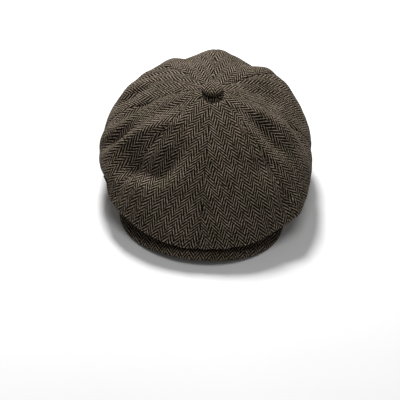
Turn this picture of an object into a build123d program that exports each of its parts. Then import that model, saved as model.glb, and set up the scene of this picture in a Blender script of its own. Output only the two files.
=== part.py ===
"""Eight-panel newsboy cap, size 58, in millimetres.

+Z is up through the top button, -Y is the front, where the visor is, and +X is the wearer's left.
The origin is the centre of the head opening, in the plane of the band's lower edge.
"""

from build123d import *
from math import atan, cos, degrees, hypot, radians, sin, sqrt, tan
import os

# Head opening: an oval of 578 mm round, which is size 58
HEAD_HALF_WIDTH = 82.0
HEAD_HALF_LENGTH = 101.0
BAND_HEIGHT = 30.0
SWEATBAND_HEIGHT = 36.0

# Cloth and board thicknesses, and the small gap left between layers that are only sewn together
TWEED = 1.8
LINING_CLOTH = 0.6
SWEATBAND_CLOTH = 1.2
INTERFACING_CLOTH = 0.9
BOARD = 1.6
LAYER_GAP = 0.15

# Layers of the band, as distances outwards from the head opening's oval
INTERFACING_IN = SWEATBAND_CLOTH + LAYER_GAP
OUTER_BAND_IN = INTERFACING_IN + INTERFACING_CLOTH + LAYER_GAP
OUTER_BAND_OUT = OUTER_BAND_IN + TWEED
INTERFACING_MARGIN = 3.0

# Crown: a soft bag that stands up at the back and hangs forward over the visor
PANEL_COUNT = 8
POLE_Y = 8.0
CROWN_TOP = 116.5
POLE_HOLE = 3.5
FRONT_REACH, SIDE_REACH, BACK_REACH = 160.0, 134.0, 115.0
CORNER_FULLNESS = 7.0
FRONT_FOLD_Z, SIDE_FOLD_Z, BACK_FOLD_Z = 5.0, 34.0, 60.0
FRONT_FLATNESS, SIDE_FLATNESS, BACK_FLATNESS = 0.30, 0.52, 0.95
FRONT_FALL, SIDE_FALL, BACK_FALL = 12.0, 30.0, 50.0
UNDERSIDE_DROP = 8.0
UNDERSIDE_FULLNESS = 0.4
LINING_INSET = 9.0
LINING_LIFT = 7.0
LINING_HEM_GAP = 0.3

# Visor: a crescent whose outer edge is most of an ellipse
VISOR_ROOT_Z = 3.0
VISOR_HALF_WIDTH = 103.0
VISOR_HALF_DEPTH = 85.0
VISOR_CENTRE_Y = -75.0
VISOR_EDGE_SWEEP = 115.0
VISOR_ROOT_SWEEP = 66.0
VISOR_FRONT_PITCH = 10.0
VISOR_SIDE_PITCH = 12.0
VISOR_RIM = 3.0
BOARD_SPAN = 0.965
POCKET_SPAN = 0.967

# Top button, covered in the crown's cloth
BUTTON_RADIUS = 13.5
BUTTON_HEIGHT = 8.0
BUTTON_CLOTH = 1.1
BUTTON_METAL = 0.5
BUTTON_RIM_SHARE = 0.35
BUTTON_SEAT_GAP = 0.2
BACK_PLATE = 0.8
RIVET_RADIUS = 1.4
RIVET_HEAD_RADIUS = 3.2
RIVET_HEAD_HEIGHT = 1.2
WASHER_RADIUS = 8.0
WASHER_THICKNESS = 0.9
WASHER_GAP = 0.7
PRONG_SPAN, PRONG_WIDTH, PRONG_THICKNESS = 11.0, 2.2, 0.7
PRONG_DROP = 0.8

# Labels sewn to the sweatband at the back
LABEL_THICKNESS = 0.4
LABEL_GAP = 0.05
LABEL_SWEEP = 13.0
LABEL_LOW, LABEL_HIGH = 6.0, 25.0
TAB_CENTRE, TAB_SWEEP = 156.0, 3.5
TAB_LOW, TAB_HIGH = 8.0, 22.0


def oval_distance(theta, outwards):
    """Distance from the crown's pole to the head oval, enlarged by outwards, theta degrees from the front."""
    a, b = HEAD_HALF_WIDTH + outwards, HEAD_HALF_LENGTH + outwards
    s, c = sin(radians(theta)), cos(radians(theta))
    squares = (b * s) ** 2 + (a * c) ** 2
    return (POLE_Y * c * a**2 + a * b * sqrt(squares - (POLE_Y * s) ** 2)) / squares


def around(theta, front, side, back):
    """A size that runs from front through side to back as theta goes from 0 to 180 degrees."""
    c = cos(radians(theta))
    return side + (front - side) * c * c if c > 0 else side + (back - side) * c * c


def bag_outline(theta, inset, lift, end_outwards, end_z):
    """Seven points in (outwards, up) that steer a bag's two curves: pole to fold, then fold to band."""
    corner = CORNER_FULLNESS * sin(radians(2 * theta)) ** 2
    reach = around(theta, FRONT_REACH, SIDE_REACH, BACK_REACH) + corner - inset
    fold_z = around(theta, FRONT_FOLD_Z, SIDE_FOLD_Z, BACK_FOLD_Z) + lift
    flat = around(theta, FRONT_FLATNESS, SIDE_FLATNESS, BACK_FLATNESS)
    fall = around(theta, FRONT_FALL, SIDE_FALL, BACK_FALL)
    top = CROWN_TOP - inset
    end = oval_distance(theta, end_outwards)
    return [
        (POLE_HOLE, top),
        (flat * reach, top),
        (reach, fold_z + fall),
        (reach, fold_z),
        (reach, fold_z - UNDERSIDE_DROP),
        (end + UNDERSIDE_FULLNESS * (reach - end), end_z),
        (end, end_z),
    ]


def gore_columns(first, last, **bag):
    """Steering points of a gore's surface: four upright columns that bend it round like an arc."""
    handle = 4 / 3 * tan(radians(last - first) / 4)
    lean = degrees(atan(handle))
    bulge = hypot(1, handle)
    columns = []
    for theta, scale in ((first, 1), (first + lean, bulge), (last - lean, bulge), (last, 1)):
        s, c = scale * sin(radians(theta)), scale * cos(radians(theta))
        columns.append([Vector(r * s, POLE_Y - r * c, z) for r, z in bag_outline(theta, **bag)])
    return columns


def gore_skin(columns):
    """The upper and lower surfaces that a gore's steering points describe."""
    upper = Face.make_bezier_surface([column[:4] for column in columns])
    lower = Face.make_bezier_surface([column[3:] for column in columns])
    return [upper, lower]


def gore_seam(outer, inner):
    """The flat face along one seam, between the outer and the inner column."""
    edges = [Bezier(*outer[:4]), Bezier(*outer[3:]), Line(outer[-1], inner[-1])]
    edges += [Bezier(*inner[3:]), Bezier(*inner[:4]), Line(inner[0], outer[0])]
    return make_face(edges).face()


def gore(first, last, inset, lift, end_outwards, end_z, thickness):
    """One gore of a bag, as a closed skin round its cloth, between seams at first and last degrees."""
    outer = gore_columns(first, last, inset=inset, lift=lift, end_outwards=end_outwards, end_z=end_z)
    inner = gore_columns(
        first,
        last,
        inset=inset + thickness,
        lift=lift + thickness / 2,
        end_outwards=end_outwards,
        end_z=end_z + thickness,
    )
    faces = gore_skin(outer) + gore_skin(inner)
    for row in (0, -1):
        rows = [Bezier(*[column[row] for column in columns]).edge() for columns in (outer, inner)]
        faces.append(Face.make_surface_from_curves(*rows))
    for column in (0, -1):
        faces.append(gore_seam(outer[column], inner[column]))
    return Solid(Shell(faces))


def gores(prefix, **layer):
    """The bag's gores by name, each between neighbouring seams, the first seam at the centre front."""
    places = ["front", "side_front", "side_back", "back"]
    width = 360 / PANEL_COUNT
    made = {}
    for i, place in enumerate(places):
        made[f"{prefix}_{place}_left"] = gore(i * width, (i + 1) * width, **layer)
        made[f"{prefix}_{place}_right"] = gore(-(i + 1) * width, -i * width, **layer)
    return made


def oval_ring(inner, outer, low, high):
    """A band standing on the head oval, between two distances outwards from it."""
    ring = Ellipse(HEAD_HALF_WIDTH + outer, HEAD_HALF_LENGTH + outer)
    ring -= Ellipse(HEAD_HALF_WIDTH + inner, HEAD_HALF_LENGTH + inner)
    return extrude(Pos(0, 0, low) * ring, high - low)


def oval_patch(centre, sweep, low, high):
    """A label on the inside of the sweatband, sweep degrees each side of its centre."""
    ring = oval_ring(-LABEL_THICKNESS - LABEL_GAP, -LABEL_GAP, low, high)
    reach = 2 * HEAD_HALF_LENGTH
    corners = [(0, 0)]
    for theta in (centre - sweep, centre + sweep):
        corners.append((reach * sin(radians(theta)), -reach * cos(radians(theta))))
    wedge = extrude(Pos(0, 0, low) * make_face(Polyline(*corners, close=True)), high - low)
    return ring & wedge


def visor_root(share):
    """A point on the visor's inner edge, which runs along the band; share goes from -1 to 1."""
    gap = OUTER_BAND_OUT + LAYER_GAP
    phi = radians(VISOR_ROOT_SWEEP * share)
    x = (HEAD_HALF_WIDTH + gap) * sin(phi)
    y = -(HEAD_HALF_LENGTH + gap) * cos(phi)
    return Vector(x, y, VISOR_ROOT_Z)


def visor_rim(share, inset):
    """A point on the visor's outer edge, drawn in by inset. The visor slopes more steeply at its sides."""
    psi = radians(VISOR_EDGE_SWEEP * share)
    root = visor_root(share)
    x = (VISOR_HALF_WIDTH - inset) * sin(psi)
    y = VISOR_CENTRE_Y - (VISOR_HALF_DEPTH - inset) * cos(psi)
    pitch = radians(VISOR_FRONT_PITCH + VISOR_SIDE_PITCH * sin(psi) ** 2)
    return Vector(x, y, root.Z - hypot(x - root.X, y - root.Y) * tan(pitch))


def visor_slab(inset, low, high, span=1.0):
    """A slab of the visor between two heights above its middle surface, over span of its width."""
    shares = [span * i / 8 for i in range(-8, 9)]
    root = Spline(*[visor_root(s) for s in shares])
    rim = Spline(*[visor_rim(s, inset) for s in shares])
    middle = Pos(0, 0, low) * Face.make_surface_from_curves(root.edge(), rim.edge())
    return extrude(middle, amount=high - low, dir=(0, 0, 1))


def visor_parts():
    """The board, and the two covers that close round its rim and meet halfway up it."""
    half = BOARD / 2
    cover = half + LAYER_GAP + TWEED
    pocket = visor_slab(VISOR_RIM - LAYER_GAP, -half - LAYER_GAP, half + LAYER_GAP, POCKET_SPAN)
    return {
        "visor_board": visor_slab(VISOR_RIM, -half, half, BOARD_SPAN),
        "visor_top_cover": visor_slab(0, LAYER_GAP / 2, cover) - pocket,
        "visor_under_cover": visor_slab(0, -cover, -LAYER_GAP / 2) - pocket,
    }


def button_dome(radius, height, base):
    """Half of a domed button's slice, from its axis to its rim."""
    rim_height = BUTTON_RIM_SHARE * height
    rise = Spline(
        (0, base + height),
        (radius, base + rim_height),
        tangents=[(1, 0), (0, -1)],
    )
    outline = [rise, Polyline((radius, base + rim_height), (radius, base), (0, base), (0, base + height))]
    return Plane.XZ * make_face(outline)


def disc(radius, low, high):
    """An upright disc between two heights."""
    return extrude(Pos(0, 0, low) * Circle(radius), high - low)


def button_parts():
    """The covered button: cloth over a metal shell on a plate, riveted through the crown to a washer."""
    seat = CROWN_TOP + BUTTON_SEAT_GAP
    shell_radius = BUTTON_RADIUS - BUTTON_CLOTH - LAYER_GAP / 2
    shell_height = BUTTON_HEIGHT - BUTTON_CLOTH - LAYER_GAP / 2
    cloth_room = button_dome(shell_radius + LAYER_GAP / 2, shell_height + LAYER_GAP / 2, seat)
    shell_room = button_dome(shell_radius - BUTTON_METAL, shell_height - BUTTON_METAL, seat)
    cloth = button_dome(BUTTON_RADIUS, BUTTON_HEIGHT, seat) - cloth_room
    shell = button_dome(shell_radius, shell_height, seat) - shell_room
    hole_radius = RIVET_RADIUS + LAYER_GAP
    plate_top = seat + BACK_PLATE
    plate = disc(shell_radius - BUTTON_METAL - LAYER_GAP, seat, plate_top)
    washer_top = CROWN_TOP - TWEED - WASHER_GAP
    washer_low = washer_top - WASHER_THICKNESS
    washer = disc(WASHER_RADIUS, washer_low, washer_top)
    prong_low = washer_low - PRONG_DROP
    head_top = plate_top + RIVET_HEAD_HEIGHT
    shank = disc(RIVET_RADIUS, prong_low, head_top)
    prongs = extrude(Pos(0, 0, prong_low) * Rectangle(PRONG_SPAN, PRONG_WIDTH), PRONG_THICKNESS)
    parts = {
        "button_cover": revolve(cloth, Axis.Z),
        "button_shell": revolve(shell, Axis.Z),
        "button_back_plate": plate - disc(hole_radius, seat, plate_top),
        "button_rivet": shank + prongs + disc(RIVET_HEAD_RADIUS, plate_top, head_top),
        "button_washer": washer - disc(hole_radius, washer_low, washer_top),
    }
    return {name: Pos(0, POLE_Y, 0) * part for name, part in parts.items()}


def cap_parts():
    """Every piece of the cap by name."""
    parts = gores(
        "crown_panel",
        inset=0.0,
        lift=0.0,
        end_outwards=OUTER_BAND_IN,
        end_z=BAND_HEIGHT + 2 * LAYER_GAP,
        thickness=TWEED,
    )
    parts |= gores(
        "lining_gore",
        inset=LINING_INSET,
        lift=LINING_LIFT,
        end_outwards=LINING_HEM_GAP,
        end_z=SWEATBAND_HEIGHT + LAYER_GAP,
        thickness=LINING_CLOTH,
    )
    parts["outer_band"] = oval_ring(OUTER_BAND_IN, OUTER_BAND_OUT, 0, BAND_HEIGHT)
    interfacing_top = BAND_HEIGHT - INTERFACING_MARGIN
    parts["band_interfacing"] = oval_ring(
        INTERFACING_IN, INTERFACING_IN + INTERFACING_CLOTH, INTERFACING_MARGIN, interfacing_top
    )
    parts["sweatband"] = oval_ring(0, SWEATBAND_CLOTH, 0, SWEATBAND_HEIGHT)
    parts["woven_label"] = oval_patch(180, LABEL_SWEEP, LABEL_LOW, LABEL_HIGH)
    parts["size_tab"] = oval_patch(TAB_CENTRE, TAB_SWEEP, TAB_LOW, TAB_HIGH)
    return parts | visor_parts() | button_parts()


os.makedirs("parts", exist_ok=True)
for name, part in cap_parts().items():
    export_step(part, f"parts/{name}.step")
    print(name, round(part.volume), "mm3")
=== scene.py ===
"""Looks of the newsboy cap, in metres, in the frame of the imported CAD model.

-Y is the front, +Z is up through the button and +X is the wearer's left. A place on the crown is an
angle from the front, positive towards the wearer's left, and a share of the way from the pole, under
the button, down to the band.
"""

import math

import bmesh
import bpy
import numpy as np
from mathutils import Matrix, Vector, noise
from mathutils.bvhtree import BVHTree


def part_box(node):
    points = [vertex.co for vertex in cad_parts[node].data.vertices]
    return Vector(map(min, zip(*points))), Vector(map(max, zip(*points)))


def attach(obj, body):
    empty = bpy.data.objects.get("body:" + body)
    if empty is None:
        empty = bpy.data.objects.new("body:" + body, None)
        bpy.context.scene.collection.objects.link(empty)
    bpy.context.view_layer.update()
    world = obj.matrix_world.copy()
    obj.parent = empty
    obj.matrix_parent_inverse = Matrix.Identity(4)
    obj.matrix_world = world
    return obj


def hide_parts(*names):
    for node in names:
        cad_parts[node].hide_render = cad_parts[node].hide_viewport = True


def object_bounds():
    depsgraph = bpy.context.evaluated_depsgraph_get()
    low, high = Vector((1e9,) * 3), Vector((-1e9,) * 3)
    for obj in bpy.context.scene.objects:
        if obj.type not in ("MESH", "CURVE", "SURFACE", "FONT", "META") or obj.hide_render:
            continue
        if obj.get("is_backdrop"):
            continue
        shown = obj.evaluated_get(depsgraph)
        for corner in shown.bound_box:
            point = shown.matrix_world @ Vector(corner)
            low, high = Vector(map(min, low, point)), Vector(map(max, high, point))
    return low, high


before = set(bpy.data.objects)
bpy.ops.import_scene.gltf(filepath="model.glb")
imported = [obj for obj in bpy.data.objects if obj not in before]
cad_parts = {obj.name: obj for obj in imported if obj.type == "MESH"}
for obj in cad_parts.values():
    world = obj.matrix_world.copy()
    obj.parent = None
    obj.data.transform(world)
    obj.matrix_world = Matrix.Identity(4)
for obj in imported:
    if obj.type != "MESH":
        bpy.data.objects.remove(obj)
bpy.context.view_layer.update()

MM = 0.001
UP = np.array([0, 0, 1.0])
BODY = "root"

# ---------------------------------------------------------------- cloths, and sizes from the CAD nodes

TWEED = 1.8 * MM
LINING_CLOTH = 0.6 * MM
FACING = 0.9 * MM
SWEAT_TAPE = 1.2 * MM
BUTTON_SEAT = 0.2 * MM

button_low, button_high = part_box("button_cover")
band_low, band_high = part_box("outer_band")
sweat_low, sweat_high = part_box("sweatband")
facing_low, facing_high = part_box("band_interfacing")
label_low, label_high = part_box("woven_label")
tab_low, tab_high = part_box("size_tab")
visor_low, visor_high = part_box("visor_top_cover")

POLE_Y = (button_low.y + button_high.y) / 2
CROWN_TOP = button_low.z - BUTTON_SEAT
BAND_TOP = band_high.z
SWEAT_TOP = sweat_high.z
HEAD_HALF_WIDTH = sweat_high.x - SWEAT_TAPE
HEAD_HALF_LENGTH = sweat_high.y - SWEAT_TAPE
BAND_OUT = band_high.x - HEAD_HALF_WIDTH
BAND_IN = BAND_OUT - TWEED
FACING_IN = facing_high.x - HEAD_HALF_WIDTH - FACING

# ---------------------------------------------------------------- meshes


def grid_faces(nu, nv, start=0, wrap=False, flip=False):
    """Quads over a grid of nu columns by nv rows whose points are numbered column by column."""
    last = nu if wrap else nu - 1
    i, j = np.meshgrid(np.arange(last), np.arange(nv - 1), indexing="ij")
    a = start + i * nv + j
    b = start + ((i + 1) % nu) * nv + j
    quads = np.stack([a, b, b + 1, a + 1], -1).reshape(-1, 4)
    return quads[:, ::-1] if flip else quads


def rim_faces(outer_ring, inner_ring):
    """Quads that join two matching closed rings of point numbers."""
    o, i = np.asarray(outer_ring), np.asarray(inner_ring)
    return np.stack([o, i, np.roll(i, -1), np.roll(o, -1)], -1)


def grid_border(nu, nv, start=0):
    """Point numbers round a grid's border, in order."""
    grid = start + np.arange(nu * nv).reshape(nu, nv)
    return np.concatenate([grid[:-1, 0], grid[-1, :-1], grid[:0:-1, -1], grid[0, :0:-1]])


def shell(outer, inner):
    """Points and quads of the closed skin round a cloth whose two faces are matching grids."""
    nu, nv = outer.shape[:2]
    points = np.concatenate([outer.reshape(-1, 3), inner.reshape(-1, 3)])
    size = nu * nv
    quads = np.concatenate(
        [
            grid_faces(nu, nv, flip=True),
            grid_faces(nu, nv, start=size),
            rim_faces(grid_border(nu, nv), grid_border(nu, nv, size)),
        ]
    )
    return points, quads


def make_piece(name, points, quads, material, nodes=(), cloth=None):
    """A mesh piece on the cap's body. cloth is each point's place in the flat cloth, in metres."""
    mesh = bpy.data.meshes.new(name)
    mesh.from_pydata(np.asarray(points).tolist(), [], [list(map(int, q)) for q in quads])
    mesh.validate()
    if cloth is not None:
        layer = mesh.uv_layers.new(name="cloth")
        corners = np.zeros(len(mesh.loops), np.int32)
        mesh.loops.foreach_get("vertex_index", corners)
        layer.data.foreach_set("uv", np.asarray(cloth, np.float32)[corners].ravel())
    mesh.shade_smooth()
    mesh.materials.append(material)
    piece = bpy.data.objects.new(name, mesh)
    bpy.context.collection.objects.link(piece)
    fix = bmesh.new()
    fix.from_mesh(mesh)
    bmesh.ops.recalc_face_normals(fix, faces=fix.faces)
    fix.to_mesh(mesh)
    fix.free()
    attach(piece, BODY)
    if nodes:
        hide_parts(*nodes)
    return piece


NOISE_FALL = 1.0
NOISE_STEP = 2.0
NOISE_OCTAVES = 2


def noise_at(points, size, seed):
    """Smooth noise from about -1 to 1 whose features are about size metres across."""
    shift = Vector((seed * 7.3, seed * 3.1, seed * 5.7))
    flat = points.reshape(-1, 3) / size
    made = [noise.fractal(Vector(p) + shift, NOISE_FALL, NOISE_STEP, NOISE_OCTAVES) for p in flat]
    return np.array(made).reshape(points.shape[:-1])


def smooth_step(low, high, x):
    t = np.clip((x - low) / (high - low), 0, 1)
    return t * t * (3 - 2 * t)


def between(x, rise_low, rise_high, fall_low, fall_high):
    """1 over the middle of a stretch, with a smooth rise before it and a smooth fall after it."""
    return smooth_step(rise_low, rise_high, x) * (1 - smooth_step(fall_low, fall_high, x))


def bell(gap, width):
    """1 where the gap is 0, falling smoothly to almost nothing at twice the width."""
    return np.exp(-((gap / width) ** 2))


def unit(vectors):
    return vectors / np.linalg.norm(vectors, axis=-1, keepdims=True)


def run_along(points):
    """The distance travelled at each point of a line of points."""
    return np.r_[0, np.cumsum(np.linalg.norm(np.diff(points, axis=0), axis=1))]


# ---------------------------------------------------------------- materials


class Shader:
    """A material whose nodes are added one after another."""

    def __init__(self, name, **fixed):
        self.material = bpy.data.materials.new(name)
        self.material.use_nodes = True
        self.tree = self.material.node_tree
        self.surface = self.tree.nodes["Principled BSDF"]
        for socket, value in fixed.items():
            self.surface.inputs[socket.replace("_", " ")].default_value = value

    def node(self, kind, inputs=None, **settings):
        made = self.tree.nodes.new(kind)
        for key, value in settings.items():
            setattr(made, key, value)
        for key, value in (inputs or {}).items():
            if isinstance(value, bpy.types.NodeSocket):
                self.tree.links.new(value, made.inputs[key])
            else:
                made.inputs[key].default_value = value
        return made

    def math(self, operation, *values):
        return self.node("ShaderNodeMath", dict(enumerate(values)), operation=operation).outputs[0]

    def centred(self, value, span):
        """A noise value from 0 to 1 turned into one from minus half the span to plus half of it."""
        return self.math("MULTIPLY", self.math("SUBTRACT", value, 0.5), span)

    def ramp(self, value, *stops):
        made = self.node("ShaderNodeValToRGB", {0: value})
        ramp = made.color_ramp
        while len(ramp.elements) < len(stops):
            ramp.elements.new(0.5)
        for element, (place, colour) in zip(ramp.elements, stops):
            element.position = place
            element.color = (*colour, 1)
        return made.outputs[0]

    def noise(self, vector, scale, detail=2.0):
        inputs = {"Vector": vector, "Scale": scale, "Detail": detail}
        return self.node("ShaderNodeTexNoise", inputs).outputs[0]

    def multiplied(self, colour_a, colour_b):
        """Two colours multiplied: a Mix node has its factor at 0 and its colours at 6 and 7."""
        inputs = {0: 1.0, 6: colour_a, 7: colour_b}
        return self.node("ShaderNodeMix", inputs, data_type="RGBA", blend_type="MULTIPLY").outputs[2]

    def place(self):
        return self.node("ShaderNodeTexCoord").outputs["Object"]

    def cloth(self):
        """Sockets for the place in the flat cloth: the whole vector, then across and along."""
        flat = self.node("ShaderNodeUVMap", uv_map="cloth").outputs[0]
        parts = self.node("ShaderNodeSeparateXYZ", {0: flat})
        return flat, parts.outputs[0], parts.outputs[1]

    def bump(self, height, distance):
        made = self.node("ShaderNodeBump", {"Height": height, "Distance": distance, "Strength": 1.0})
        self.tree.links.new(made.outputs[0], self.surface.inputs["Normal"])

    def colour(self, socket):
        self.tree.links.new(socket, self.surface.inputs["Base Color"])

    def roughness(self, socket):
        self.tree.links.new(socket, self.surface.inputs["Roughness"])


STRIPE = 6.7 * MM
RIB_PITCH = 5.4 * MM
RIB_SLOPE = 1.5
RIB_WANDER = 1.4 * MM
RIB_FRAY = 0.8 * MM
YARN_CONTRAST = 0.7
SLUB_CONTRAST = 1.3
WOOL_SHEEN = (0.85, 0.78, 0.68, 1)
WOOL_TONES = (
    (0.34, (0.0046, 0.0027, 0.0017)),
    (0.58, (0.0130, 0.0082, 0.0054)),
    (0.76, (0.0830, 0.0640, 0.0465)),
    (1.00, (0.3350, 0.2780, 0.2170)),
)
WOOL_PATCHES = ((0.3, (0.76, 0.78, 0.68)), (0.7, (1.08, 1.03, 1.05)))


def herringbone(name):
    """Wool herringbone: staggered slanting ribs that mirror from one stripe to the next."""
    s = Shader(name, Roughness=0.9, Sheen_Weight=0.02, Sheen_Roughness=0.5, Specular_IOR_Level=0.06)
    s.surface.inputs["Sheen Tint"].default_value = WOOL_SHEEN
    flat, across, along = s.cloth()
    wander = s.centred(s.noise(flat, 90.0), RIB_WANDER)
    fray = s.centred(s.noise(flat, 800.0), RIB_FRAY)
    across_woven = s.math("ADD", across, s.math("ADD", wander, fray))
    along_woven = s.math("ADD", along, s.math("MULTIPLY", wander, 0.8))
    slant = s.math("MULTIPLY", s.math("PINGPONG", across_woven, STRIPE), RIB_SLOPE)
    stripe = s.math("FLOOR", s.math("DIVIDE", across_woven, STRIPE))
    phase = s.math("DIVIDE", s.math("ADD", along_woven, slant), RIB_PITCH)
    phase = s.math("ADD", phase, s.math("MULTIPLY", stripe, 0.5))
    rib = s.math("SINE", s.math("MULTIPLY", phase, 2 * math.pi))
    rib = s.math("MULTIPLY_ADD", rib, 0.5, 0.5)
    yarn = s.noise(flat, 1500.0, 3.0)
    slub = s.noise(flat, 420.0, 3.0)
    tone = s.math("ADD", rib, s.centred(yarn, YARN_CONTRAST))
    tone = s.math("ADD", tone, s.centred(slub, SLUB_CONTRAST))
    woven = s.ramp(tone, *WOOL_TONES)
    patches = s.ramp(s.noise(flat, 45.0, 3.0), *WOOL_PATCHES)
    s.colour(s.multiplied(woven, patches))
    s.roughness(s.math("MULTIPLY_ADD", yarn, 0.12, 0.84))
    s.bump(s.math("ADD", rib, s.math("MULTIPLY", yarn, 0.9)), 0.35 * MM)
    return s.material


def plain_weave(name, dark, light, yarns_across, yarns_along, **fixed):
    """A plain or satin cloth, with its number of yarns per metre each way."""
    s = Shader(name, **fixed)
    flat, across, along = s.cloth()
    warp = s.math("SINE", s.math("MULTIPLY", across, 2 * math.pi * yarns_across))
    weft = s.math("SINE", s.math("MULTIPLY", along, 2 * math.pi * yarns_along))
    woven = s.math("MULTIPLY_ADD", s.math("MULTIPLY", warp, weft), 0.5, 0.5)
    slub = s.noise(flat, 350.0, 3.0)
    tone = s.math("MULTIPLY_ADD", s.math("SUBTRACT", slub, 0.5), 0.8, woven)
    s.colour(s.ramp(tone, (0.1, dark), (0.9, light)))
    s.bump(tone, 0.12 * MM)
    return s.material


def twill(name, dark, light, pitch, **fixed):
    """A twill tape whose ribs slant one way."""
    s = Shader(name, **fixed)
    flat, across, along = s.cloth()
    rib = s.math("SINE", s.math("MULTIPLY", s.math("ADD", across, along), 2 * math.pi / pitch))
    slub = s.noise(flat, 500.0, 3.0)
    tone = s.math("ADD", s.math("MULTIPLY_ADD", rib, 0.35, 0.5), s.math("SUBTRACT", slub, 0.5))
    s.colour(s.ramp(tone, (0.1, dark), (0.9, light)))
    s.bump(tone, 0.2 * MM)
    return s.material


def pressed_metal(name):
    s = Shader(name, Metallic=1.0, Roughness=0.35)
    spot = s.noise(s.place(), 420.0, 4.0)
    s.colour(s.ramp(spot, (0.25, (0.42, 0.41, 0.39)), (0.8, (0.66, 0.65, 0.62))))
    s.roughness(s.math("MULTIPLY_ADD", spot, 0.3, 0.2))
    s.bump(spot, 0.05 * MM)
    return s.material


def moulded_board(name):
    s = Shader(name, Roughness=0.6)
    grain = s.noise(s.place(), 300.0, 4.0)
    s.colour(s.ramp(grain, (0.2, (0.62, 0.61, 0.57)), (0.8, (0.80, 0.79, 0.75))))
    s.bump(grain, 0.1 * MM)
    return s.material


def thread(name, dark, light):
    s = Shader(name, Roughness=0.7, Sheen_Weight=0.2)
    ply = s.noise(s.place(), 2500.0)
    s.colour(s.ramp(ply, (0.3, dark), (0.7, light)))
    s.bump(ply, 0.1 * MM)
    return s.material


tweed = herringbone("herringbone_tweed")
band_tweed = herringbone("herringbone_band")
satin = plain_weave(
    "lining_satin",
    dark=(0.020, 0.016, 0.013),
    light=(0.045, 0.037, 0.030),
    yarns_across=2600,
    yarns_along=1500,
    Roughness=0.38,
    Sheen_Weight=0.1,
)
sweat_twill = twill(
    "sweatband_twill",
    dark=(0.012, 0.011, 0.010),
    light=(0.045, 0.040, 0.035),
    pitch=0.9 * MM,
    Roughness=0.8,
    Sheen_Weight=0.15,
)
facing_weave = plain_weave(
    "interfacing",
    dark=(0.50, 0.49, 0.44),
    light=(0.75, 0.74, 0.69),
    yarns_across=900,
    yarns_along=900,
    Roughness=0.9,
)
label_weave = plain_weave(
    "label_cloth",
    dark=(0.33, 0.30, 0.24),
    light=(0.52, 0.48, 0.40),
    yarns_across=1600,
    yarns_along=1100,
    Roughness=0.6,
)
metal = pressed_metal("button_metal")
board = moulded_board("visor_board")
dark_thread = thread("dark_thread", dark=(0.020, 0.016, 0.012), light=(0.070, 0.058, 0.045))
pale_thread = thread("pale_thread", dark=(0.22, 0.19, 0.15), light=(0.38, 0.34, 0.27))

# ---------------------------------------------------------------- the plain bag of the crown

PANEL_NAMES = [
    "front_left",
    "side_front_left",
    "side_back_left",
    "back_left",
    "back_right",
    "side_back_right",
    "side_front_right",
    "front_right",
]
PANELS = len(PANEL_NAMES)
COLUMNS = 40
ROWS = 176
THETAS = np.arange(PANELS * COLUMNS) * 2 * math.pi / (PANELS * COLUMNS)
SHARES = np.linspace(0, 1, ROWS)[None, :]

# At the front, the side and the back: how far out the bag reaches, the height of its fold and of the
# curve into the fold, all in mm, and the share of the reach over which the top is level.
REACH_MM = (160.0, 134.0, 115.0)
FOLD_HEIGHT_MM = (5.0, 34.0, 60.0)
FOLD_FALL_MM = (12.0, 30.0, 50.0)
LEVEL_SHARE = (0.30, 0.52, 0.95)
DIAGONAL_REACH = 7 * MM
POLE_RADIUS = 3.5 * MM
UNDER_FALL = 8 * MM
UNDER_SHARE = 0.4
OUTLINE_STEPS = 160


def around(theta, front, side, back):
    """A size that runs from front through side to back as theta goes from 0 to pi."""
    c = np.cos(theta)
    return side + np.where(c > 0, front - side, back - side) * c * c


def oval_distance(theta, outwards):
    """Distance from the pole to the head oval, enlarged by outwards."""
    a, b = HEAD_HALF_WIDTH + outwards, HEAD_HALF_LENGTH + outwards
    s, c = np.sin(theta), np.cos(theta)
    squares = (b * s) ** 2 + (a * c) ** 2
    return (POLE_Y * c * a**2 + a * b * np.sqrt(squares - (POLE_Y * s) ** 2)) / squares


def bezier(points, steps):
    t = np.linspace(0, 1, steps)[:, None]
    p = [np.array(q) for q in points]
    return (1 - t) ** 3 * p[0] + 3 * (1 - t) ** 2 * t * p[1] + 3 * (1 - t) * t * t * p[2] + t**3 * p[3]


def bag_column(theta, inset, lift, end_outwards, end_z):
    """Evenly spaced (outwards, up) points from the pole to the band."""
    reach = around(theta, *REACH_MM) * MM + DIAGONAL_REACH * math.sin(2 * theta) ** 2 - inset
    fold_z = around(theta, *FOLD_HEIGHT_MM) * MM + lift
    level = around(theta, *LEVEL_SHARE) * reach
    fall = around(theta, *FOLD_FALL_MM) * MM
    top = CROWN_TOP - inset
    end = oval_distance(theta, end_outwards)
    fold = (reach, fold_z)
    over = [(POLE_RADIUS, top), (level, top), (reach, fold_z + fall), fold]
    under = [fold, (reach, fold_z - UNDER_FALL), (end + UNDER_SHARE * (reach - end), end_z), (end, end_z)]
    curve = np.concatenate([bezier(over, OUTLINE_STEPS), bezier(under, OUTLINE_STEPS)[1:]])
    run = run_along(curve)
    even = np.linspace(0, run[-1], ROWS)
    return np.stack([np.interp(even, run, curve[:, 0]), np.interp(even, run, curve[:, 1])], 1)


def bag_grid(**layer):
    """The whole bag as columns all the way round."""
    grid = np.zeros((len(THETAS), ROWS, 3))
    for i, theta in enumerate(THETAS):
        column = bag_column(theta, **layer)
        grid[i, :, 0] = column[:, 0] * math.sin(theta)
        grid[i, :, 1] = POLE_Y - column[:, 0] * math.cos(theta)
        grid[i, :, 2] = column[:, 1]
    return grid


def grid_normals(grid):
    """Outward normals of a grid that closes round on itself."""
    across = np.roll(grid, -1, 0) - np.roll(grid, 1, 0)
    along = np.gradient(grid, axis=1)
    n = np.cross(along, across)
    return n / (np.linalg.norm(n, axis=-1, keepdims=True) + 1e-12)


# ---------------------------------------------------------------- folds, seams and slack of the crown

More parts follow.
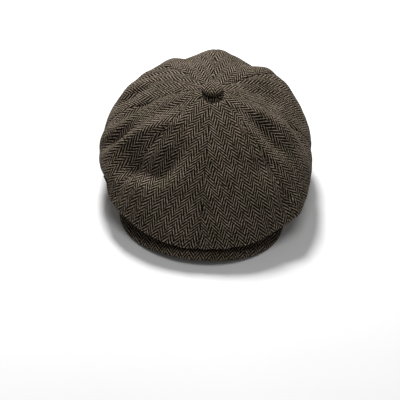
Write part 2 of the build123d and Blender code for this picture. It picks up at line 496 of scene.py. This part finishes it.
# Each crease: stops as (degrees, share), half-width and depth in mm. A negative depth makes a ridge.
CREASES = [
    ([(-50, 0.62), (-45, 0.57), (-40, 0.54), (-34, 0.51), (-29, 0.49), (-25, 0.43), (-24, 0.34)], 11.5, 9.5),
    ([(-64, 0.64), (-62, 0.52), (-57, 0.40), (-48, 0.30), (-36, 0.22)], 9.0, -4.5),
    ([(-73, 0.72), (-70, 0.58), (-66, 0.45)], 8.0, 8.5),
    ([(-102, 0.63), (-105, 0.51), (-111, 0.39)], 7.0, 7.0),
    ([(-82, 0.56), (-86, 0.45), (-91, 0.35)], 6.5, 6.5),
    ([(-66, 0.34), (-63, 0.24), (-60, 0.12)], 8.0, 3.5),
    ([(-62, 0.77), (-54, 0.74), (-43, 0.71)], 8.0, 6.0),
    ([(62, 0.19), (58, 0.31), (59, 0.41), (61, 0.54)], 9.0, 6.2),
    ([(68, 0.19), (73, 0.35), (75, 0.55)], 9.0, -3.5),
    ([(93, 0.46), (85, 0.57), (79, 0.68)], 9.0, 5.0),
    ([(124, 0.20), (110, 0.31), (100, 0.43)], 19.0, 9.5),
    ([(145, 0.50), (133, 0.55), (120, 0.60)], 14.0, -3.0),
    ([(180, 0.62), (180, 0.45), (176, 0.25)], 11.0, -3.0),
    ([(-60, 0.045), (-30, 0.045), (0, 0.045), (30, 0.045), (60, 0.045)], 4.5, 4.5),
    ([(30, 0.75), (40, 0.69), (49, 0.63)], 8.0, 4.5),
    ([(-128, 0.34), (-122, 0.48), (-126, 0.64)], 9.0, 4.0),
    ([(158, 0.52), (150, 0.62), (156, 0.74)], 8.0, 4.0),
    ([(-160, 0.54), (-154, 0.63), (-160, 0.75)], 9.0, 4.5),
]
# Each swelling: degrees, share, radius and height in mm. A negative height makes a hollow.
SWELLINGS = [
    (-50, 0.52, 18.0, -8.5),
    (-48, 0.55, 11.0, -3.5),
    (-33, 0.43, 14.0, -3.0),
    (-95, 0.38, 30.0, -3.0),
    (-76, 0.70, 20.0, 2.5),
    (-48, 0.76, 18.0, 2.5),
    (41, 0.46, 14.0, -3.0),
    (49, 0.78, 22.0, 5.0),
    (98, 0.55, 26.0, -3.0),
    (155, 0.40, 18.0, -5.0),
    (-155, 0.40, 18.0, -4.0),
    (154, 0.54, 17.0, -9.0),
    (167, 0.54, 9.0, -3.0),
    (-160, 0.54, 19.0, -7.5),
    (-138, 0.56, 18.0, -4.5),
]
CREASE_END = 0.12
SHOULDER_HEIGHT = 0.08
SHOULDER_PLACE = 2.1
FULLNESS_MM = (0.7, 1.5, 0.9)
GROOVE_DEPTH, GROOVE_WIDTH = 0.6 * MM, 1.3 * MM
SEAM_PULL, SEAM_PULL_WIDTH = 0.35, 7 * MM
WAVE_HEIGHT, WAVE_SIZE = 1.5 * MM, 55 * MM
WRINKLE_HEIGHT, WRINKLE_SIZE = 0.6 * MM, 18 * MM
GATHERS, GATHER_HEIGHT = 34, 1.0 * MM


def on_grid(grid, degrees, share):
    """The point of the bag at an angle from the front and a share of the way from pole to band."""
    i = int(round(degrees / 360 * len(grid))) % len(grid)
    return grid[i, int(round(share * (ROWS - 1)))]


def crease(grid, path, width, depth):
    """How far out a crease moves each point: a valley along path that fades at its ends."""
    stops = [on_grid(grid, *stop) for stop in path]
    flat = grid.reshape(-1, 3)
    gaps, places = [], []
    lengths = [np.linalg.norm(b - a) for a, b in zip(stops, stops[1:])]
    total, done = sum(lengths), 0.0
    for a, b, length in zip(stops, stops[1:], lengths):
        t = np.clip(((flat - a) @ (b - a)) / length**2, 0, 1)
        gaps.append(np.linalg.norm(flat - (a + t[:, None] * (b - a)), axis=1))
        places.append((done + t * length) / total)
        done += length
    gaps, places = np.array(gaps), np.array(places)
    nearest = gaps.min(axis=0)
    weights = np.exp((nearest**2 - gaps**2) / width**2)
    place = (weights * places).sum(axis=0) / weights.sum(axis=0)
    fade = np.sin(np.pi * (CREASE_END + (1 - 2 * CREASE_END) * place))
    shoulder = SHOULDER_HEIGHT * bell(nearest - SHOULDER_PLACE * width, width)
    return (depth * fade * (shoulder - bell(nearest, width))).reshape(grid.shape[:2])


def swell(grid, degrees, share, radius, height):
    """How far out a swelling moves each point."""
    return height * bell(np.linalg.norm(grid - on_grid(grid, degrees, share), axis=-1), radius)


def crown_relief(grid):
    """How far the sewn and slouched cloth stands out from the plain bag, in metres."""
    in_panel = (THETAS * PANELS / (2 * math.pi)) % 1.0
    off_seam = np.minimum(in_panel, 1 - in_panel)[:, None]
    radius = np.hypot(grid[..., 0], grid[..., 1] - POLE_Y)
    seam_gap = off_seam * 2 * math.pi / PANELS * radius
    body = np.sin(math.pi * np.clip(SHARES * 1.12, 0, 1)) ** 0.8
    fullness = around(THETAS, *FULLNESS_MM)[:, None] * MM
    relief = fullness * body * (1 - (1 - 2 * off_seam) ** 2)
    groove = bell(seam_gap, GROOVE_WIDTH) * smooth_step(0, 0.04, SHARES)
    relief = relief - GROOVE_DEPTH * groove
    relief = relief - SEAM_PULL * fullness * body * bell(seam_gap, SEAM_PULL_WIDTH)
    for path, width, depth in CREASES:
        relief = relief + crease(grid, path, width * MM, depth * MM)
    for degrees, share, radius, height in SWELLINGS:
        relief = relief + swell(grid, degrees, share, radius * MM, height * MM)
    slack = between(SHARES, 0.05, 0.35, 0.90, 1.0)
    relief = relief + slack * WAVE_HEIGHT * noise_at(grid, WAVE_SIZE, 1.0)
    relief = relief + slack * WRINKLE_HEIGHT * noise_at(grid, WRINKLE_SIZE, 2.0)
    ripple = np.sin(THETAS * GATHERS + 2.2 * np.sin(THETAS * 5))[:, None]
    relief = relief + between(SHARES, 0.70, 0.90, 0.96, 1.0) * GATHER_HEIGHT * ripple
    return relief * between(SHARES, -0.02, 0.06, 0.97, 1.0)


# ---------------------------------------------------------------- crown panels and lining gores

GRAIN_LEAN = {"front_left": math.radians(-8), "front_right": math.radians(8)}
CROWN_ABOVE_BAND = 0.3 * MM
LINING_INSET = 9 * MM
LINING_LIFT = 7 * MM
LINING_END_OUT = 0.3 * MM
LINING_ABOVE_SWEATBAND = 0.15 * MM
LINING_WAVE_HEIGHT, LINING_WAVE_SIZE = 0.8 * MM, 30 * MM
LINING_GAP = 1.2 * MM
PUSHES = 3


def panel_slices(values, k):
    """The columns of panel k, both its seams included."""
    return values[(k * COLUMNS + np.arange(COLUMNS + 1)) % (PANELS * COLUMNS)]


def flat_cloth(columns):
    """Each point's place in the panel laid flat: across from its middle line, and along it."""
    middle = COLUMNS // 2
    steps = np.linalg.norm(np.diff(columns, axis=0), axis=-1)
    across = np.concatenate([np.zeros((1, ROWS)), np.cumsum(steps, axis=0)])
    across = across - across[middle]
    along = np.broadcast_to(run_along(columns[middle]), across.shape)
    return np.stack([across, along], -1)


def sewn_bag(prefix, grid, plain, thickness, material, offset):
    """The panels of a bag, each a closed skin. Its cloth is plain's, moved by offset from the last's."""
    normals = grid_normals(grid)
    for k, place in enumerate(PANEL_NAMES):
        outer = panel_slices(grid, k)
        inner = outer - thickness * panel_slices(normals, k)
        cloth = flat_cloth(panel_slices(plain, k))
        lean = GRAIN_LEAN.get(place, 0.0)
        turned = np.array([[math.cos(lean), -math.sin(lean)], [math.sin(lean), math.cos(lean)]])
        shifted = cloth @ turned + np.array([offset * (k + 1), 0.31 * offset * k])
        points, quads = shell(outer, inner)
        both = np.concatenate([shifted.reshape(-1, 2)] * 2)
        node = f"{prefix}_{place}"
        piece = make_piece(node + "_cloth", points, quads, material, [node], both)


def kept_inside(grid, cover, gap):
    """The grid with each point that is outside the cover, or nearer to it than gap, moved in."""
    faces = grid_faces(len(cover), ROWS, wrap=True, flip=True)
    tree = BVHTree.FromPolygons(cover.reshape(-1, 3).tolist(), faces.tolist())
    for _ in range(PUSHES):
        move = np.zeros(grid.shape)
        for index in np.ndindex(grid.shape[:2]):
            near, out, _, _ = tree.find_nearest(Vector(grid[index]))
            outside = (Vector(grid[index]) - near).dot(out) + gap
            if outside > 0:
                move[index] = -outside * out
        padded = np.pad(move, ((0, 0), (1, 1), (0, 0)), "edge")
        blurred = (np.roll(move, 1, 0) + np.roll(move, -1, 0) + padded[:, 2:] + padded[:, :-2]) / 4
        grid = grid + np.where(np.abs(blurred) > np.abs(move), blurred, move)
    return grid


bag = bag_grid(inset=0.0, lift=0.0, end_outwards=BAND_IN, end_z=BAND_TOP + CROWN_ABOVE_BAND)
relief = crown_relief(bag)
crown = bag + relief[..., None] * grid_normals(bag)
sewn_bag("crown_panel", crown, bag, TWEED, tweed, 0.1)

lining_bag = bag_grid(
    inset=LINING_INSET,
    lift=LINING_LIFT,
    end_outwards=LINING_END_OUT,
    end_z=SWEAT_TOP + LINING_ABOVE_SWEATBAND,
)
lining_wave = LINING_WAVE_HEIGHT * noise_at(lining_bag, LINING_WAVE_SIZE, 5.0)
lining_relief = (1 - smooth_step(0.80, 0.97, SHARES)) * (np.minimum(relief, 0) + lining_wave)
lining = lining_bag + lining_relief[..., None] * grid_normals(lining_bag)
lining = kept_inside(lining, crown - TWEED * grid_normals(crown), LINING_GAP)
sewn_bag("lining_gore", lining, lining_bag, LINING_CLOTH, satin, 0.07)

# ---------------------------------------------------------------- band

RING_STEPS = 288
TAPE_EDGE_STEPS = 10
TAPE_SIDE_STEPS = 12
TAPE_WAVE_SIZE = 25 * MM


def oval_points(outwards, steps=RING_STEPS):
    """Points round the head oval enlarged by outwards, their outward normals, and the run between them."""
    phi = np.arange(steps) * 2 * math.pi / steps
    a, b = HEAD_HALF_WIDTH + outwards, HEAD_HALF_LENGTH + outwards
    points = np.stack([a * np.sin(phi), -b * np.cos(phi), np.zeros(steps)], 1)
    normals = unit(np.stack([np.sin(phi) / a, -np.cos(phi) / b, np.zeros(steps)], 1))
    return points, normals, run_along(np.concatenate([points, points[:1]]))


def band_profile(thickness, low, high):
    """A tape's slice with rounded edges, as (outwards, up) points round it."""
    r = thickness / 2
    edges = []
    for centre, start in ((high - r, 0), (low + r, math.pi)):
        for i in range(TAPE_EDGE_STEPS + 1):
            angle = start + math.pi * i / TAPE_EDGE_STEPS
            edges.append((r + r * math.cos(angle), centre + r * math.sin(angle)))
    top, bottom = edges[: TAPE_EDGE_STEPS + 1], edges[TAPE_EDGE_STEPS + 1 :]
    rise = np.linspace(low + r, high - r, TAPE_SIDE_STEPS)[1:-1]
    inside = [(0.0, z) for z in rise[::-1]]
    outside = [(thickness, z) for z in rise]
    return np.array(top + inside + bottom + outside)


def tape_ring(node, inwards, thickness, low, high, material, wave=0.0):
    """A tape sewn into a ring, with its inner face inwards metres outside the head oval."""
    profile = band_profile(thickness, low, high)
    points, normals, run = oval_points(inwards)
    grid = points[:, None, :] + profile[None, :, :1] * normals[:, None, :]
    grid = grid + profile[None, :, 1:] * UP
    if wave:
        grid = grid + wave * noise_at(grid, TAPE_WAVE_SIZE, 3.0)[..., None] * normals[:, None, :]
    steps, ring = grid.shape[:2]
    a = np.arange(steps)[:, None] * ring
    b = np.roll(a, -1, 0)
    close = np.concatenate([a + ring - 1, b + ring - 1, b, a], 1)
    quads = np.concatenate([grid_faces(steps, ring, wrap=True), close])
    across = np.broadcast_to(profile[None, :, 1], (steps, ring))
    along = np.broadcast_to(run[:-1, None], (steps, ring))
    cloth = np.stack([along, across], -1).reshape(-1, 2)
    piece = make_piece(node + "_cloth", grid.reshape(-1, 3), quads, material, [node], cloth)


tape_ring(
    "outer_band",
    inwards=BAND_IN,
    thickness=TWEED,
    low=band_low.z,
    high=BAND_TOP,
    material=band_tweed,
    wave=0.12 * MM,
)
tape_ring(
    "band_interfacing",
    inwards=FACING_IN,
    thickness=FACING,
    low=facing_low.z,
    high=facing_high.z,
    material=facing_weave,
)
tape_ring(
    "sweatband",
    inwards=0.0,
    thickness=SWEAT_TAPE,
    low=sweat_low.z,
    high=SWEAT_TOP,
    material=sweat_twill,
    wave=0.1 * MM,
)

# ---------------------------------------------------------------- stitches of the band

STITCH_SIDES, STITCH_STEPS = 6, 7
STITCH_SINK = 0.6
STITCH_OUT = 0.1 * MM
STITCH_RUN_STEPS = 2400
SWEAT_STITCH_EDGE = 3.0 * MM
BAND_STITCH_EDGE = 2.5 * MM


def stitch_row(name, centres, directions, outs, length, radius, material):
    """A row of thread stitches: short spindles that lie on the cloth and dip into it at their ends."""
    t = np.linspace(-1, 1, STITCH_STEPS)
    girth = np.sqrt(np.clip(1 - t**2, 0.02, 1))
    angle = np.arange(STITCH_SIDES) * 2 * math.pi / STITCH_SIDES
    size = STITCH_SIDES * STITCH_STEPS
    all_points, all_quads = [], []
    for centre, direction, out in zip(centres, directions, outs):
        side = np.cross(direction, out)
        lift = (girth - STITCH_SINK) * radius
        spine = centre + np.outer(t * length / 2, direction) + np.outer(lift, out)
        ring = np.outer(np.cos(angle), out) + np.outer(np.sin(angle), side)
        grid = spine[:, None, :] + radius * girth[:, None, None] * ring[None, :, :]
        index = len(all_points) * size + np.arange(size).reshape(STITCH_STEPS, STITCH_SIDES)
        nxt = np.roll(index, -1, axis=1)
        all_quads.append(np.stack([index[:-1], nxt[:-1], nxt[1:], index[1:]], -1).reshape(-1, 4))
        all_points.append(grid.reshape(-1, 3))
    points, quads = np.concatenate(all_points), np.concatenate(all_quads)
    make_piece(name, points, quads, material)


def oval_stitches(name, outwards, z, facing, pitch, length, radius):
    """A row of stitches round the head oval. facing is 1 on an outer face and -1 on an inner one."""
    points, normals, run = oval_points(outwards, STITCH_RUN_STEPS)
    count = int(run[-1] / pitch)
    index = np.searchsorted(run[:-1], np.arange(count) * run[-1] / count)
    index = np.clip(index, 0, len(points) - 1)
    centres = points[index] + z * UP
    directions = unit(np.roll(points, -1, 0)[index] - points[index])
    stitch_row(name, centres, directions, facing * normals[index], length, radius, dark_thread)


for row, height in (("low", SWEAT_STITCH_EDGE), ("high", SWEAT_TOP - SWEAT_STITCH_EDGE)):
    oval_stitches(
        f"sweatband_stitches_{row}",
        -STITCH_OUT,
        height,
        facing=-1,
        pitch=4.2 * MM,
        length=3.0 * MM,
        radius=0.35 * MM,
    )
oval_stitches(
    "band_edge_stitches",
    BAND_OUT + STITCH_OUT,
    BAND_STITCH_EDGE,
    facing=1,
    pitch=3.6 * MM,
    length=2.6 * MM,
    radius=0.3 * MM,
)

# ---------------------------------------------------------------- labels

LABEL_COLUMNS, LABEL_ROWS = 49, 25
LABEL_SEAT = 0.05 * MM
LABEL_FOLD_HEIGHT = 0.38 * MM
LABEL_MIDDLE_DROP = 0.45
LABEL_FOLD_WIDTH = 0.12
LABEL_RIPPLE = 0.06 * MM
LABEL_STITCH_INSET = 0.04
LABEL_STITCH_PITCH = 2.6 * MM
LABEL_STITCH_LENGTH = 1.8 * MM
LABEL_STITCH_RADIUS = 0.22 * MM


def sewn_label(node, low, high):
    """A blank woven label on the inside of the sweatband, with folded edges that stand a little proud."""
    a, b = HEAD_HALF_WIDTH - LABEL_SEAT, HEAD_HALF_LENGTH - LABEL_SEAT
    start, stop = math.asin(max(-1, low.x / a)), math.asin(min(1, high.x / a))
    phi = math.pi - np.linspace(start, stop, LABEL_COLUMNS)
    u, v = np.meshgrid(np.linspace(-1, 1, LABEL_COLUMNS), np.linspace(-1, 1, LABEL_ROWS), indexing="ij")
    edge = np.minimum(1 - np.abs(u), (1 - np.abs(v)) * (high.z - low.z) / (high.x - low.x))
    puff = LABEL_FOLD_HEIGHT * (1 - LABEL_MIDDLE_DROP * smooth_step(0.0, LABEL_FOLD_WIDTH, edge))
    puff = puff + LABEL_RIPPLE * np.sin(9 * u + 3 * v)
    wall = np.stack([a * np.sin(phi), -b * np.cos(phi), 0 * phi], 1)
    normal = unit(np.stack([np.sin(phi) / a, -np.cos(phi) / b, 0 * phi], 1))
    z = (low.z + high.z) / 2 + v * (high.z - low.z) / 2
    back = wall[:, None, :] + z[..., None] * UP
    front = back - puff[..., None] * normal[:, None, :]
    points, quads = shell(front, back)
    run = run_along(wall)
    cloth = np.stack([np.broadcast_to(run[:, None], z.shape), z], -1).reshape(-1, 2)
    name = node + "_cloth"
    piece = make_piece(name, points, quads, label_weave, [node], np.concatenate([cloth] * 2))

    loop = front.reshape(-1, 3)[grid_border(LABEL_COLUMNS, LABEL_ROWS)]
    seam = loop + LABEL_STITCH_INSET * (loop.mean(0) - loop)
    seam = np.concatenate([seam, seam[:1]])
    travelled = run_along(seam)
    count = int(travelled[-1] / LABEL_STITCH_PITCH)
    at = np.searchsorted(travelled, np.arange(count) * travelled[-1] / count, side="right") - 1
    directions = unit(np.diff(seam, axis=0)[at])
    outs = np.repeat(unit(-normal.mean(0))[None], count, 0)
    stitch_row(
        name + "_stitches", seam[at], directions, outs, LABEL_STITCH_LENGTH, LABEL_STITCH_RADIUS, pale_thread
    )


sewn_label("woven_label", label_low, label_high)
sewn_label("size_tab", tab_low, tab_high)

# ---------------------------------------------------------------- visor

VISOR_COLUMNS, VISOR_ROWS = 121, 49
VISOR_ROOT_Z = 3.0 * MM
VISOR_ROOT_GAP = 0.15 * MM
VISOR_ROOT_SWEEP = math.radians(66)
VISOR_RIM_SWEEP = math.radians(115)
VISOR_PITCH = 10
VISOR_PITCH_AT_SIDES = 12
VISOR_HALF_WIDTH = visor_high.x
VISOR_CENTRE_Y = -75.0 * MM
VISOR_HALF_DEPTH = VISOR_CENTRE_Y - visor_low.y
VISOR_HALF_RUN = 105 * MM
VISOR_HALF_THICKNESS = 2.75 * MM
VISOR_EDGE = 0.12 * MM
VISOR_ROUNDING = 3.2 * MM
VISOR_PUFF_HEIGHT, VISOR_PUFF_SIZE = 0.25 * MM, 22 * MM
VISOR_TURN_IN = 2.2 * MM
VISOR_INNER_HEIGHT = 0.9 * MM
VISOR_CLOTH_PLACE = np.array([0.4, 0.5])


def visor_root(share):
    """The visor's line along the band. share runs from -1 at one end to 1 at the other."""
    gap = BAND_OUT + VISOR_ROOT_GAP
    phi = VISOR_ROOT_SWEEP * share
    x = (HEAD_HALF_WIDTH + gap) * np.sin(phi)
    y = -(HEAD_HALF_LENGTH + gap) * np.cos(phi)
    return np.stack([x, y, np.full_like(x, VISOR_ROOT_Z)], -1)


def visor_rim(share, inset):
    """The visor's outer edge, which is pitched down more at its sides."""
    psi = VISOR_RIM_SWEEP * share
    root = visor_root(share)
    x = (VISOR_HALF_WIDTH - inset) * np.sin(psi)
    y = VISOR_CENTRE_Y - (VISOR_HALF_DEPTH - inset) * np.cos(psi)
    pitch = np.radians(VISOR_PITCH + VISOR_PITCH_AT_SIDES * np.sin(psi) ** 2)
    drop = np.hypot(x - root[..., 0], y - root[..., 1]) * np.tan(pitch)
    return np.stack([x, y, root[..., 2] - drop], -1)


def visor_face(side, height, inset, puff_height):
    """One face of a visor cover: side is 1 above and -1 below, height is how far it rises to its middle."""
    share = np.linspace(-1, 1, VISOR_COLUMNS)[:, None] * np.ones((1, VISOR_ROWS))
    out = np.sin(np.linspace(0, math.pi / 2, VISOR_ROWS))[None, :] * np.ones((VISOR_COLUMNS, 1))
    root, rim = visor_root(share), visor_rim(share, inset)
    face = root + out[..., None] * (rim - root)
    reach = np.linalg.norm(rim - root, axis=-1)
    to_rim = np.minimum((1 - out) * reach, (1 - np.abs(share)) * VISOR_HALF_RUN)
    part = np.clip(to_rim / VISOR_ROUNDING, 0, 1)
    face[..., 2] += side * (VISOR_EDGE + height * np.sqrt(1 - (1 - part) ** 2))
    puff = puff_height * noise_at(face, VISOR_PUFF_SIZE, 4.0 + side) * smooth_step(0, 1, part)
    face[..., 2] += side * puff
    return face


def visor_cover(node, side):
    """One cover of the visor, its cloth spread outwards from the band with stripes front to back."""
    outer = visor_face(side, VISOR_HALF_THICKNESS - VISOR_EDGE, 0.0, VISOR_PUFF_HEIGHT)
    inner = visor_face(side, VISOR_INNER_HEIGHT, VISOR_TURN_IN, 0.0)
    points, quads = shell(outer, inner)
    outwards = unit(outer[:, -1, :2] - outer[:, 0, :2])
    run = np.cumsum(np.linalg.norm(np.diff(outer, axis=1), axis=-1), axis=1)
    run = np.pad(run, ((0, 0), (1, 0)))
    cloth = outer[:, :1, :2] + run[..., None] * outwards[:, None, :]
    cloth = np.concatenate([cloth.reshape(-1, 2) + VISOR_CLOTH_PLACE] * 2)
    piece = make_piece(node + "_cloth", points, quads, tweed, [node], cloth)


visor_cover("visor_top_cover", 1)
visor_cover("visor_under_cover", -1)

# ---------------------------------------------------------------- button

BUTTON_COLUMNS, BUTTON_ROWS = 96, 40
BUTTON_CLOTH = 1.0 * MM
BUTTON_START = 0.02
DOME_SHARE = 0.86
DOME_HEIGHT, RIM_HEIGHT = 0.66, 0.34
TUCK_IN = 0.07
PLEATS, PLEAT_DEPTH = 18, 0.22 * MM
BUTTON_WAVE_HEIGHT, BUTTON_WAVE_SIZE = 0.12 * MM, 6 * MM
APEX_RISE = 0.05 * MM
BUTTON_CLOTH_PLACE = 0.9


def covered_button():
    """The button's cloth: a dome gathered under at its rim."""
    radius = (button_high.x - button_low.x) / 2
    height = button_high.z - button_low.z
    phi = np.arange(BUTTON_COLUMNS) * 2 * math.pi / BUTTON_COLUMNS
    east, north = np.sin(phi)[:, None], -np.cos(phi)[:, None]
    t = np.linspace(BUTTON_START, 1, BUTTON_ROWS)
    bend = np.clip(t / DOME_SHARE, 0, 1) * math.pi / 2
    tuck = np.clip((t - DOME_SHARE) / (1 - DOME_SHARE), 0, 1)
    r = radius * np.sin(bend) ** 0.85 * (1 - TUCK_IN * tuck**1.5)
    z = button_low.z + RIM_HEIGHT * height + DOME_HEIGHT * height * np.cos(bend) ** 0.8
    z = z - RIM_HEIGHT * height * tuck
    pleats = PLEAT_DEPTH * np.sin(phi * PLEATS + 0.8 * np.sin(phi * 3))[:, None] * smooth_step(0.5, 0.9, t)
    pleated = r - np.abs(pleats)
    x, y = pleated * east, POLE_Y + pleated * north
    outer = np.stack([x, y, np.broadcast_to(z, x.shape)], -1)
    outer[..., 2] += BUTTON_WAVE_HEIGHT * noise_at(outer, BUTTON_WAVE_SIZE, 6.0)
    narrower = (radius - BUTTON_CLOTH) / radius
    centre = np.array([0, POLE_Y, 0.0])
    inner = (outer - centre) * np.array([narrower, narrower, 1.0]) + centre
    inner[..., 2] -= BUTTON_CLOTH * (1 - tuck)

    size = BUTTON_COLUMNS * BUTTON_ROWS
    first = np.arange(BUTTON_COLUMNS) * BUTTON_ROWS
    last = first + BUTTON_ROWS - 1
    quads = np.concatenate(
        [
            grid_faces(BUTTON_COLUMNS, BUTTON_ROWS, wrap=True),
            grid_faces(BUTTON_COLUMNS, BUTTON_ROWS, start=size, wrap=True, flip=True),
            rim_faces(last, last + size),
        ]
    )
    apexes = [face[:, 0].mean(0) + APEX_RISE * UP for face in (outer, inner)]
    points = np.concatenate([outer.reshape(-1, 3), inner.reshape(-1, 3), apexes])
    caps = []
    for ring, apex in ((first, 2 * size), (first + size, 2 * size + 1)):
        caps += [[int(a), int(b), apex] for a, b in zip(ring, np.roll(ring, -1))]
    run = np.r_[0, np.cumsum(np.hypot(np.diff(r), np.diff(z)))] + r[0]
    flat = np.stack([run * east, run * north], -1).reshape(-1, 2)
    flat = np.concatenate([flat, flat, np.zeros((2, 2))]) + BUTTON_CLOTH_PLACE
    faces, node = quads.tolist() + caps, "button_cover"
    piece = make_piece(node + "_cloth", points, faces, tweed, [node], flat)


covered_button()

# ---------------------------------------------------------------- CAD nodes shown as they are

for node, material in (
    ("button_shell", metal),
    ("button_back_plate", metal),
    ("button_rivet", metal),
    ("button_washer", metal),
    ("visor_board", board),
):
    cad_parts[node].data.materials.clear()
    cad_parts[node].data.materials.append(material)

# ---------------------------------------------------------------- floor and lights

FLOOR_HALF = 4.0
FLOOR_GAP = 0.2 * MM
WORLD_STRENGTH = 0.16
LIT_POINT = Vector((0, 0, 0.05))


def pale_floor():
    s = Shader("pale_floor", Roughness=0.9)
    s.colour(s.ramp(s.noise(s.place(), 3.0), (0.2, (0.86, 0.86, 0.86)), (0.8, (0.89, 0.89, 0.89))))
    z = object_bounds()[0].z - FLOOR_GAP
    corners = [(x * FLOOR_HALF, y * FLOOR_HALF, z) for x, y in ((-1, -1), (1, -1), (1, 1), (-1, 1))]
    mesh = bpy.data.meshes.new("floor")
    mesh.from_pydata(corners, [], [(0, 1, 2, 3)])
    mesh.materials.append(s.material)
    floor = bpy.data.objects.new("floor", mesh)
    bpy.context.collection.objects.link(floor)
    floor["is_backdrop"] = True


def soft_light(name, place, size, power):
    """A round area light that faces the cap. size is its diameter in metres, power is in watts."""
    data = bpy.data.lights.new(name, "AREA")
    data.shape = "DISK"
    data.size = size
    data.energy = power
    light = bpy.data.objects.new(name, data)
    bpy.context.collection.objects.link(light)
    light.location = place
    light.rotation_mode = "QUATERNION"
    light.rotation_quaternion = (LIT_POINT - Vector(place)).to_track_quat("-Z", "Y")


pale_floor()

world = bpy.data.worlds.new("studio")
bpy.context.scene.world = world
world.use_nodes = True
world.node_tree.nodes["Background"].inputs["Color"].default_value = (1, 1, 1, 1)
world.node_tree.nodes["Background"].inputs["Strength"].default_value = WORLD_STRENGTH

soft_light("key", place=(-0.28, 0.95, 1.20), size=0.38, power=33.5)
soft_light("fill", place=(0.1, -0.4, 1.9), size=0.9, power=9.0)

# ---------------------------------------------------------------- camera

ELEVATION = math.radians(40)
ROLL = math.radians(4.9)
DISTANCE = 1.2
SENSOR_MM = 36.0
LENS_MM = 84.78
TARGET = Vector((0, 0, 0.04))
AIM_LEFT = 9.9 * MM
AIM_DOWN = 72.7 * MM

back = Vector((0, -math.cos(ELEVATION), math.sin(ELEVATION)))
level = Vector((1, 0, 0))
upright = back.cross(level)
right = math.cos(ROLL) * level + math.sin(ROLL) * upright
rise = -math.sin(ROLL) * level + math.cos(ROLL) * upright
aim = TARGET - AIM_LEFT * right - AIM_DOWN * rise
eye = TARGET + back * DISTANCE
camera_data = bpy.data.cameras.new("camera")
camera_data.sensor_width = SENSOR_MM
camera_data.lens = LENS_MM
camera = bpy.data.objects.new("camera", camera_data)
bpy.context.collection.objects.link(camera)
axis_z = (eye - aim).normalized()
axis_x = rise.cross(axis_z).normalized()
axis_y = axis_z.cross(axis_x)
turn = Matrix((axis_x, axis_y, axis_z)).transposed()
camera.matrix_world = Matrix.Translation(eye) @ turn.to_4x4()
bpy.context.scene.camera = camera
bpy.context.scene.view_settings.view_transform = "Standard"
